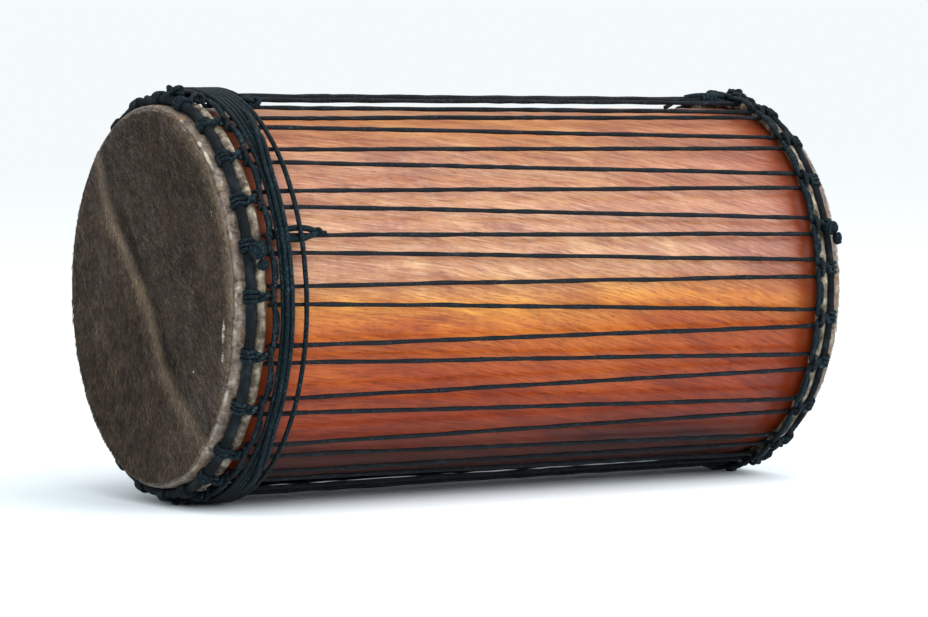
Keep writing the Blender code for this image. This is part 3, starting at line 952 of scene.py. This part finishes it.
def build_hair(end, mat, count, seed):
    """Short coarse hairs over the playing face, each a thin closed spike lying along the flow."""
    rng = np.random.default_rng(seed)
    rim = SHELL_RADIUS - end.less
    r = (rim - 0.0022) * np.sqrt(rng.uniform(0.0, 1.0, count))
    a = rng.uniform(0.0, math.tau, count)
    y, z = r * np.cos(a), r * np.sin(a)
    root = np.stack([np.full(count, end.s(0.0003)), y, z], -1)
    along, part = hair_axes(root)
    lean = 0.55 * np.tanh(part / 0.03) + rng.normal(0.0, 0.34, count)
    lean += 0.9 * value_noise(root * 26.0, seed + 1)
    way = np.zeros((count, 3))
    for axis in (0, 1):
        way[:, axis + 1] = HAIR_DIRECTION[axis] * np.cos(lean) + HAIR_ACROSS[axis] * np.sin(lean)
    across = np.cross(way, [1.0, 0.0, 0.0])
    length = rng.uniform(*HAIR_LENGTH, count)[:, None]
    thick = rng.uniform(*HAIR_THICK, count)[:, None]
    rise = np.array([end.side, 0.0, 0.0])
    flatter = (1.0 - 0.75 * smoothstep(rim - 0.014, rim - 0.004, r))[:, None]
    tip = root + way * length + rise * rng.uniform(0.0005, 0.0011, count)[:, None] * flatter
    outside = np.maximum(1.0, np.hypot(tip[:, 1], tip[:, 2]) / (rim - 0.0010))[:, None]
    tip[:, 1:] /= outside
    middle = root + (tip - root) * 0.5 + rise * 0.00040 * flatter
    sections = [p + way * thick for p in (root, middle) for way in (-across, across, rise * 1.6)]
    co = np.stack([*sections, tip], 1)
    base = np.arange(count)[:, None] * HAIR_POINTS
    quads = [base + np.array(f) for f in ((0, 1, 4, 3), (1, 2, 5, 4), (2, 0, 3, 5))]
    tris = [base + np.array(f) for f in ((0, 2, 1), (3, 4, 6), (4, 5, 6), (5, 3, 6))]
    d = stripe_offset(root)
    tone = 0.13 + rng.uniform(0.0, 1.0, count) ** 1.5 * 0.42
    tone += 0.20 * fbm(root, 28.0, seed + 2, 3) + 0.12 * fbm(root, 130.0, seed + 3, 2)
    if end is FRONT:
        tone += 0.75 * bell(d, STRIPE_AT, 0.010) * (1.0 - 0.4 * smoothstep(0.0, 0.14, along))
        # Hairs in the valley beside the stripe darkened as painted shade
        tone -= 0.26 * bell(d, SHADED_VALLEY_AT, 0.009)
    # Painted light: hairs near the rim on the side towards the window made lighter
    window_lit_rim = smoothstep(rim - 0.022, rim - 0.003, r) * smoothstep(0.45, 0.95, window_side(root))
    tone = {"tone": np.repeat(np.clip(tone + 0.60 * window_lit_rim, 0.0, 1.0), HAIR_POINTS)}
    name = end.word + "_hide"
    quads, tris = np.concatenate(quads), np.concatenate(tris)
    obj = make_mesh(name + "_hair", mat, co.reshape(-1, 3), quads, None, tris, tone)
    edit_faces(obj)
    stand_in(obj, end.body, name)


def edit_faces(obj, fill=False):
    """Turn every face outward, and fill the tiny rings left at the centre of a skin's two sides."""
    bm = bmesh.new()
    bm.from_mesh(obj.data)
    if fill:
        bmesh.ops.holes_fill(bm, edges=[e for e in bm.edges if e.is_boundary], sides=0)
    bmesh.ops.recalc_face_normals(bm, faces=bm.faces)
    for face in bm.faces:
        face.smooth = True
    bm.to_mesh(obj.data)
    bm.free()


# ---- ring cloth


def build_ring_cloth(end, mat):
    """The strip lapped round the crown ring, each turn half over the last."""
    count, strip_turns = 26, 74.0
    depth, radius, cloth = end.crown
    profile = np.array([depth, radius - end.less]) + arc(cloth, 0, 360, count + 1)[:-1]
    profile[:, 0] = end.s(profile[:, 0])

    def shape(co, degrees):
        section = np.arange(count)[:, None] / count
        laps = degrees[None, :] / 360.0 * strip_turns + section
        laps = (laps + 0.15 * fbm(co, 30.0, 71, 2)) % 1.0
        ridge = smoothstep(0.0, 0.12, laps) * (1 - laps) * 0.00045
        folds = fbm(co, 120.0, 73, 3) * 0.00030
        middle = around(end.s(depth), radius - end.less, degrees)[None]
        return co + unit(co - middle) * (ridge + folds - 0.00020)[..., None]

    obj = revolve(end.word + "_ring_wrapping", profile, 960, shape, mat)
    stand_in(obj, end.body, end.word + "_ring_cloth")


# ---- cords


def hitch_path(end, centre, rng, snug=0.0):
    """From the cradle corner before a hitch to the corner after it: an X over the lap, three ring turns."""
    jitter = rng.uniform(-1, 1, 8) * 0.00035
    spread = (0.0043 + jitter[0], jitter[1], -0.0043 + jitter[2])
    depth, radius, cloth = end.crown
    top = FLESH_RADIUS + LAP_OUTER + CORD
    points, widths = [], []

    def put(d, r, along, width=CORD):
        points.append(end.at(d, r, centre, along))
        widths.append(width)

    def over(phi, along, reach):
        a = math.radians(phi)
        put(depth + reach * math.cos(a), radius + reach * math.sin(a), along, THIN)

    for d, r, along in end.corner:
        put(end.cradle - d, r, -along)
    put(FLESH_DEPTH + 0.0060, 0.1865, -0.0026)
    put(FLESH_DEPTH, top - 0.0003 + jitter[3], 0.0002)
    put(depth + cloth + 0.0008, radius + cloth - 0.0004, 0.0028, THIN)
    reach, tuck = cloth + 0.0014 - snug, cloth - 0.0002
    # Under the ring to the next turn: angle, share of the way across, distance from the ring's middle
    under = ((222, 0.15, reach - 0.0006), (255, 0.35, tuck), (300, 0.65, tuck), (340, 0.9, tuck + 0.0006))
    for turn, along in enumerate(spread):
        after = spread[turn + 1] if turn < 2 else along
        for phi in (48, 72, 96, 120, 145, 170, 195):
            over(phi, along, reach)
        for phi, share, height in under:
            over(phi, along * (1 - share) + after * share, height)
        if turn < 2:
            over(380, after, reach - 0.0003)
    put(depth + cloth + 0.0006, radius + cloth - 0.0014, spread[2] + 0.0003, THIN)
    put(FLESH_DEPTH - 0.0030, top + 0.0014, -0.0030)
    put(FLESH_DEPTH + 0.0004, top + 0.0034 + jitter[4], 0.0)
    put(FLESH_DEPTH + 0.0034, top + 0.0008, 0.0020)
    put(FLESH_DEPTH + 0.0062, 0.1866, 0.0027)
    for d, r, along in end.corner[::-1]:
        put(end.cradle - d, r, along)
    return points, widths


def build_loop_cord(end, mat, seed):
    """The lacing: hitches joined by cradle runs, with a second strand laid along every run."""
    rng = np.random.default_rng(seed)
    points, widths = [], []
    for k in range(HITCHES):
        centre, following = end.hitch(k), end.hitch(k + 1)
        more, wide = hitch_path(end, centre, rng, 0.0009 if k in PULLED_TIGHT else 0.0)
        points += more
        points.append(end.at(end.cradle, CRADLE_RADIUS + 0.0003, centre, 0.0125))
        points.append(end.at(end.cradle, CRADLE_RADIUS + CRADLE_BOW, (centre + following) / 2))
        points.append(end.at(end.cradle, CRADLE_RADIUS + 0.0003, following, -0.0125))
        widths += wide + [CORD * 1.04] * 3
    cords = Cords()
    path, radius = curve(points, 0.0013, closed=True, values=widths)
    cords.add(wobble(path, 0.00020, 0.012, seed + 1), radius, closed=True)
    for k in range(HITCHES):
        centre, following = end.hitch(k), end.hitch(k + 1)
        lift = rng.uniform(-0.0003, 0.0003)
        # The second strand from its tuck beside a hitch: share of its depth, radius, distance along
        rows = ((0.0, 0.1858, 0.0105), (0.5, 0.1874, 0.0130), (0.95, 0.1888 + lift, 0.0165))
        depths = [end.cradle + end.second * share for share, _, _ in rows]
        strand = [end.at(d, r, centre, along) for d, (_, r, along) in zip(depths, rows)]
        strand.append(end.at(end.cradle + end.second, 0.1895 + lift, (centre + following) / 2))
        mirrored = [end.at(d, r, following, -along) for d, (_, r, along) in zip(depths, rows)]
        cords.add(wobble(curve(strand + mirrored[::-1], 0.0015), 0.00020, 0.012, seed + 2), 0.0020)
    name = end.word + "_loop_cord"
    stand_in(cords.build(end.word + "_lacing", mat), end.body, name)


def rope_turn(end):
    """The rope over the neck of a hitch, from a leg to the middle: depth, radius, half width."""
    over, lift = FLESH_DEPTH + end.neck[0], end.neck[1]
    return [
        (end.cradle, 0.1838, LEG_HALF),
        (end.cradle - 0.0041, 0.1859, LEG_HALF + 0.0002),
        (over + 0.0001, 0.1898, 0.0074),
        (over, lift, 0.0038),
    ]


def leg_sag(end, k, way):
    """How much closer to the shell this leg lies than the others."""
    return LOW_LEGS.get((end.side, k % HITCHES, way), 0.0)


def leg_point(end, k, way):
    """Where a leg of the rope runs straight, next to hitch k on its side way."""
    depth, radius = end.leg
    return end.at(depth, radius - leg_sag(end, k, way), end.hitch(k), way * LEG_HALF)


def build_tension_half(end, mat, seed):
    """Half of the tension rope: the turn over each hitch's neck and its two legs to mid-length."""
    rng = np.random.default_rng(seed)
    cords = Cords()
    for k in range(HITCHES):
        c = end.hitch(k)
        legs = []
        for way in (-1, 1):
            if end.side < 0:
                other, opposite = REAR, k if way > 0 else k - 1
            else:
                other, opposite = FRONT, k if way < 0 else k + 1
            near, far = leg_point(end, k, way), leg_point(other, opposite, -way)
            share = near[0] / (near[0] - far[0])
            middle = near + (far - near) * share
            radius = end.leg[1] - 0.5 * leg_sag(end, k, way)
            start = end.at(LEG_START, radius, c, way * LEG_HALF)
            line = [middle + (near - middle) * t for t in (-OVERLAP / abs(near[0]), 0.0, 0.25, 0.5, 0.8)]
            line += [near, start] if end.side < 0 else [near]
            legs.append(line)
        turn = [end.at(d, r, c, -w) for d, r, w in rope_turn(end)]
        turn += [end.at(d, r + rng.uniform(-0.0002, 0.0002), c, w) for d, r, w in rope_turn(end)[::-1]]
        path = curve(legs[0] + turn + legs[1][::-1], 0.0030)
        reach = -path[:, 0] * -end.side
        fade = smoothstep(0.0, 0.05, reach)[:, None]
        path = path + (wobble(path, 0.00060, 0.06, seed + k) - path) * fade
        turned_by = path[:, 0] * 55.0 + 4.5 * fbm(path * np.array([1.0, 2.0, 2.0]), 9.0, 77, 2)
        width = ROPE_RADIUS * (1.0 - 0.12 * smoothstep(0.0, OVERLAP, -reach))
        cords.add(path, width, flat=0.10, phase=turned_by)
    obj = cords.build(end.word + "_tension_rope", mat)
    start = place([end.side * BLEND_FROM, 0.0, 0.0])
    finish = place([end.s(BLEND_TO), 0.0, 0.0])
    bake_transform(obj)
    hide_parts("tension_rope")


def gathered(degrees):
    """1 where the band's loose turn is drawn over the others, on the side that faces the camera."""
    away = abs((degrees + 180.0) % 360.0 - 180.0)
    t = min(1.0, max(0.0, (65.0 - away) / 30.0))
    return t * t * (3.0 - 2.0 * t)


def band_point(turn):
    """A point of the wrap band; its fourth and fifth turns cross back over the first ones."""
    degrees = BAND_START - 360.0 * turn
    index = int(turn)
    depth = BAND_DEPTH + BAND_PITCH * turn
    rise = 0.0
    if index in (3, 4):
        depth -= 2.5 * BAND_PITCH * gathered(degrees)
        last = BAND_DEPTH + BAND_PITCH * (turn - index + 2.0)
        if depth > last:
            apart = depth - last
        else:
            apart = abs((last - depth + BAND_PITCH / 2) % BAND_PITCH - BAND_PITCH / 2)
        rise = math.sqrt(max(0.0, BAND_PITCH**2 - apart**2))
    return FRONT.at(depth, BAND_RADIUS + rise, degrees)


def build_band(mat):
    """The cord wound six times round the legs behind the front head."""
    path = np.array([band_point(BAND_TURNS * i / BAND_POINTS) for i in range(BAND_POINTS + 1)])
    path = wobble(path, 0.00035, 0.030, 91)
    cords = Cords()
    cords.add(path, BAND_CORD + 0.00010 * value_noise(path * 120.0, 93))
    stand_in(cords.build("wrap_band_turns", mat), "shell_body", "wrap_band")


# ---- knots


def overhand(size, count, opening=0.30):
    """A trefoil cut open, the path of an overhand knot."""
    t = math.pi / 6 + np.linspace(opening, math.tau - opening, count)
    x = np.sin(t) + 2 * np.sin(2 * t)
    y = np.cos(t) - 2 * np.cos(2 * t)
    return np.stack([x, y, -np.sin(3 * t)], -1) * size


def build_knot(name, end, depth, radius, degrees, size, cord, roll, body, mat, tails):
    """An overhand knot pulled tight against the rim, with cut tails that spread a little at their ends."""
    centre = around(end.s(depth), radius, degrees)
    out = around(0.0, 1.0, degrees)
    along = np.array([1.0, 0.0, 0.0])
    across = np.cross(out, along)
    turn = math.radians(roll)
    p = overhand(size, 64)
    x = p[:, :1] * math.cos(turn) - p[:, 1:2] * math.sin(turn)
    y = p[:, :1] * math.sin(turn) + p[:, 1:2] * math.cos(turn)
    path = centre + along * x + across * y + out * p[:, 2:]
    ends = []
    for tip, before, (reach, drop) in ((path[0], path[1], tails[0]), (path[-1], path[-2], tails[1])):
        way = unit(tip - before)
        ends.append([tip + way * reach * 0.5, tip + way * reach - out * drop])
    line = curve(np.vstack([ends[0][::-1], path[::2], ends[1]]), 0.0008)
    cords = Cords()
    cords.add(line, cord * 1.12)
    finish_knot(cords, name, body, mat)


def finish_knot(cords, name, body, mat):
    stand_in(cords.build(name + "_tied", mat), body, name)


def rotation(i, j, angle):
    """A turn in the plane of axes i and j."""
    m = np.eye(3)
    m[i, i] = m[j, j] = math.cos(angle)
    m[i, j], m[j, i] = -math.sin(angle), math.sin(angle)
    return m


def ball(centre, radius, cord, loops, seed):
    """A round stopper knot: parallel loops one way, then a second set of loops crossing over them."""
    sets = []
    spin, tip = rotation(0, 1, seed), rotation(1, 2, 0.5 + seed)
    for number, reach in enumerate((radius - 1.9 * cord, radius - cord)):
        turns = loops - number
        t = np.linspace(0.0, 1.0, turns * 26)
        offset = (t - 0.5) * (turns - 0.4) * cord * 1.85
        spread_by = np.sqrt(np.maximum(reach**2 - offset**2, (0.3 * reach) ** 2))
        a = math.tau * turns * t
        parts = (np.cos(a) * spread_by, np.sin(a) * spread_by, offset)
        sets.append(np.stack(parts if number == 0 else parts[::-1], -1))
    line = np.vstack([sets[0], (sets[0][-1:] + sets[1][:1]) / 2, sets[1]])
    return centre + curve(line[::2], cord * 0.7) @ (spin @ tip).T


def core(centre, radius, cord):
    """The tucked cord in the middle of a ball, so that no light comes through it."""
    t = np.linspace(0.0, 1.0, 24)[:, None]
    a = math.tau * 1.7 * t
    return centre + np.hstack([np.cos(a), np.sin(a), 1.6 * (t - 0.5)]) * (radius - cord)


def add_ball(cords, centre, radius, cord, seed, inner, inner_cord, inner_width):
    """A round stopper knot and the cord tucked inside it."""
    cords.add(ball(centre, radius, cord, 3, seed), cord)
    cords.add(core(centre, inner, inner_cord), inner_width)


# A ball's end, depth, radius, angle, size, cord, seed and body
BALLS = {
    "front_ring_knot": (FRONT, 0.0168, 0.1975, 14.6, 0.0086, 0.00215, 0.4, "front_head"),
    "rear_ring_knot_upper": (REAR, 0.0183, 0.1910, 17.8, 0.0070, 0.00185, 1.9, "rear_head"),
    "rear_ring_knot_lower": (REAR, 0.0132, 0.1905, 14.7, 0.0062, 0.00175, 3.1, "rear_head"),
}


def build_ball_knot(name, end, depth, radius, degrees, size, cord, seed, body, mat):
    cords = Cords()
    middle = around(end.s(depth), radius, degrees)
    add_ball(cords, middle, size, cord, seed, size * 0.62, cord * 1.3, cord * 1.5)
    if name == "front_ring_knot":
        lump = FRONT.at(0.0232, 0.1925, 11.0)
        add_ball(cords, lump, 0.0056, 0.00185, 2.1, 0.0034, 0.0022, 0.0026)
    finish_knot(cords, name, body, mat)


# The loop's two strands: depth, radius, angle, half the angle between them, and whether one rises
LEG_LOOP = (
    (0.0470, 0.1864, 20.0, 1.10, 0),
    (0.0560, 0.1868, 19.8, 1.50, 0),
    (0.0655, 0.1886, 19.7, 1.60, 1),
    (0.0735, 0.1906, 19.75, 1.10, 1),
)


def build_leg_loop(mat):
    """A doubled cord slipped under the band, with one stopper on the leg and one before the band."""
    cords = Cords()
    tip, root = FRONT.at(0.0829, 0.1915, 19.72), FRONT.at(0.0405, 0.1815, 20.2)
    add_ball(cords, tip, 0.0045, 0.00140, 0.9, 0.0026, 0.0018, 0.0020)
    add_ball(cords, root, 0.0056, 0.00165, 2.4, 0.0034, 0.0022, 0.0026)
    for way, lift in ((1, 0.0), (-1, 0.0004)):
        strand = [FRONT.at(d, r + lift * rises, a + way * apart) for d, r, a, apart, rises in LEG_LOOP]
        cords.add(curve([root, *strand, tip], 0.001), 0.0028)
    stub = [tip, FRONT.at(0.0870, 0.1896, 19.75), FRONT.at(0.0925, 0.1880, 19.8)]
    cords.add(curve(stub, 0.001), 0.0019)
    finish_knot(cords, "leg_loop_knot", "shell_body", mat)


# Tails of the lashing: along the leg, above it and to its side
LAID_TAIL = (
    (-0.010, 0.0030, 0.0030),
    (0.002, 0.0050, 0.0010),
    (0.014, 0.0052, 0.0006),
    (0.026, 0.0046, 0.0010),
    (0.036, 0.0028, 0.0026),
)
CUT_TAIL = (
    (0.044, 0.0010, -0.0042),
    (0.050, -0.0010, -0.0052),
    (0.058, -0.0050, -0.0065),
    (0.064, -0.0075, -0.0075),
)


def build_lashing(mat):
    """The rope's two ends bound to one leg near the rear head."""
    near = REAR.at(*REAR.leg, REAR.hitch(5), LEG_HALF)
    far = FRONT.at(*FRONT.leg, FRONT.hitch(6), -LEG_HALF)
    way = unit(far - near)
    up = np.array([0.0, 0.0, 1.0])
    up = unit(up - way * way.dot(up))
    side = np.cross(way, up)
    t = np.linspace(0, 4.0, 120)[:, None]
    w = math.tau * t
    reach = 0.0044 + 0.0003 * np.sin(t * 5.1)
    coil = near + way * (0.0015 + 0.0043 * t) + (up * np.cos(w) + side * np.sin(w)) * reach
    cords = Cords()
    cords.add(coil, 0.0020)
    for tail, width in ((LAID_TAIL, 0.0022), (CUT_TAIL, 0.0020)):
        line = [near + way * d + up * u + side * v for d, u, v in tail]
        cords.add(curve(line, 0.001), width)
    stand_in(cords.build("rope_lashing_coil", mat), "rear_head", "rope_lashing")


# ---- the drum

WOOD = wood_material()
build_shell(WOOD)

# Each hide's last colour is painted light: lighter hair at the rim on the side towards the window
HIDE_FRONT = hide_material(
    "front_goat_hide",
    dark=(0.012, 0.0080, 0.0058),
    mid=(0.036, 0.0260, 0.0190),
    light=(0.110, 0.084, 0.062),
    lit_fringe_colour=(0.190, 0.145, 0.098),
)
HIDE_REAR = hide_material(
    "rear_goat_hide",
    dark=(0.010, 0.007, 0.005),
    mid=(0.030, 0.021, 0.015),
    light=(0.090, 0.067, 0.048),
    lit_fringe_colour=(0.220, 0.175, 0.115),
)
CLOTH = cloth_material()
WORN = (0.075, 0.120, 0.140)
CORD_DARK = (0.0012, 0.0026, 0.0036)
LOOPS = cord_material("front_loop_cord_nylon", CORD_DARK, (0.0050, 0.0095, 0.0125), WORN, 0.60)
LOOPS_REAR = cord_material("rear_loop_cord_nylon", CORD_DARK, (0.0045, 0.0090, 0.0115), WORN, 0.45)
ROPE = cord_material(
    "tension_rope_nylon",
    dark=(0.0022, 0.0026, 0.0034),
    light=(0.0070, 0.0088, 0.0115),
    worn=(0.085, 0.105, 0.118),
    worn_share=0.42,
    sheen=(0.75, 0.90, 1.0),
)
BAND = cord_material("wrap_band_nylon", (0.0008, 0.0020, 0.0028), (0.0040, 0.0085, 0.0112), WORN, 0.50)
KNOTS = cord_material("knot_cord_nylon", (0.0012, 0.0028, 0.0040), (0.0050, 0.0105, 0.0150), WORN, 0.40)

build_hide(FRONT, HIDE_FRONT, 640, 96)
build_hide(REAR, HIDE_REAR, 560, 80)
HAIR = hair_material("goat_hair", (0.0145, 0.0082, 0.0056), (0.330, 0.232, 0.155))
build_hair(FRONT, HAIR, 19000, 811)
build_hair(REAR, HAIR, 14000, 821)
for drum_end, loops, loop_seed, rope_seed in ((FRONT, LOOPS, 301, 500), (REAR, LOOPS_REAR, 401, 600)):
    build_ring_cloth(drum_end, CLOTH)
    build_loop_cord(drum_end, loops, loop_seed)
    build_tension_half(drum_end, ROPE, rope_seed)
build_band(BAND)

# A knot's end, depth, radius, angle, size, cord, roll and body
KNOTS_TIED = {
    "front_loop_knot": (FRONT, 0.0175, 0.1922, 84.0, 0.0026, 0.0019, 75.0, "front_head"),
    "wrap_end_knot": (FRONT, 0.0812, 0.1872, 75.2, 0.0030, 0.0021, 150.0, "shell_body"),
    "rear_loop_knot": (REAR, 0.0175, 0.1855, 88.5, 0.0024, 0.0018, 40.0, "rear_head"),
}
# How far a knot's two tails reach and drop
TAILS = ((0.006, 0.002), (0.005, 0.001))
for knot, row in KNOTS_TIED.items():
    build_knot(knot, *row, KNOTS, TAILS)
for knot, row in BALLS.items():
    build_ball_knot(knot, *row, KNOTS)
build_leg_loop(KNOTS)
build_lashing(KNOTS)

IRON = iron_material("black_iron")
HOOPS = iron_material("hidden_hoop_iron")
for end in (FRONT, REAR):
    for node, mat in (("_crown_ring", IRON), ("_flesh_hoop", HOOPS)):
        slots = frame["nodes"][end.word + node].data.materials
        slots.clear()
        slots.append(mat)


# ---- floor, light and camera

scene = bpy.context.scene
scene.view_settings.view_transform = "Standard"

FLOOR_HALF = 9
floor_mesh = bpy.data.meshes.new("floor")
corners = [(x * FLOOR_HALF, y * FLOOR_HALF, 0) for x, y in ((-1, -1), (1, -1), (1, 1), (-1, 1))]
floor_mesh.from_pydata(corners, [], [(0, 1, 2, 3)])
floor = bpy.data.objects.new("floor", floor_mesh)
scene.collection.objects.link(floor)
paper = Nodes("pale_floor")
distance = paper("VectorMath", {0: paper.coords()}, operation="LENGTH").outputs["Value"]
# Painted shade: the floor is bluer and a little darker near the drum, paler further off
near_shade_tint, far_tint = (0.885, 0.950, 0.985), (0.985, 0.990, 0.992)
tint = paper.ramp(paper.times(distance, 0.2), (0.16, near_shade_tint), (0.60, far_tint))
floor_mesh.materials.append(paper.finish(tint, 1.0, Specular_IOR_Level=0.0))

world = bpy.data.worlds.new("studio")
world.use_nodes = True
sky = world.node_tree.nodes["Background"].inputs
sky["Color"].default_value = (0.913, 0.956, 0.973, 1.0)
sky["Strength"].default_value = 1.0
scene.world = world


def area_light(name, where, target, size, size_y, power, colour):
    light = bpy.data.lights.new(name, "AREA")
    light.shape = "RECTANGLE"
    light.size, light.size_y = size, size_y
    light.energy = power
    light.color = colour
    obj = bpy.data.objects.new(name, light)
    obj.location = where
    obj.rotation_euler = (Vector(target) - Vector(where)).to_track_quat("-Z", "Y").to_euler()
    scene.collection.objects.link(obj)


MID_DRUM = (0.0, 0.0, 0.2)
area_light("overhead", (0.1, -0.7, 2.3), MID_DRUM, 2.4, 1.6, 22.0, (1.0, 0.99, 0.985))
area_light("window", (1.9, -3.6, 2.45), MID_DRUM, 3.8, 3.6, 170.0, (0.99, 0.99, 1.0))
area_light("left_fill", (-2.2, -2.2, 1.8), MID_DRUM, 1.4, 1.2, 9.0, (1.0, 0.99, 0.98))
area_light("low_fill", (-0.9, -2.9, 0.95), (0.0, -0.25, 0.0), 2.8, 0.7, 16.0, (0.94, 0.98, 1.0))

# The camera found from the photo, on the drum's own axes
YAW, PITCH, FOCAL_PIXELS, WIDE = 0.507494427, -0.0546828062, 4801.39, 928
SENSOR = 36.0
camera_at = np.array([-2.22904676, -4.02139569, 0.232191242])
forward = np.array([math.sin(YAW) * math.cos(PITCH), math.cos(YAW) * math.cos(PITCH), math.sin(PITCH)])
right = unit(np.cross(forward, [0.0, 0.0, 1.0]))
above = np.cross(right, forward)
camera = bpy.data.objects.new("camera", bpy.data.cameras.new("camera"))
camera.data.sensor_width = SENSOR
camera.data.lens = FOCAL_PIXELS * SENSOR / WIDE
camera.data.clip_start, camera.data.clip_end = 0.1, 60.0
axes = np.stack([turned(right), turned(above), -turned(forward)], 1)
pose = Matrix([list(axes[i]) + [float(place(camera_at)[i])] for i in range(3)] + [[0, 0, 0, 1]])
camera.matrix_world = pose
scene.collection.objects.link(camera)
scene.camera = camera
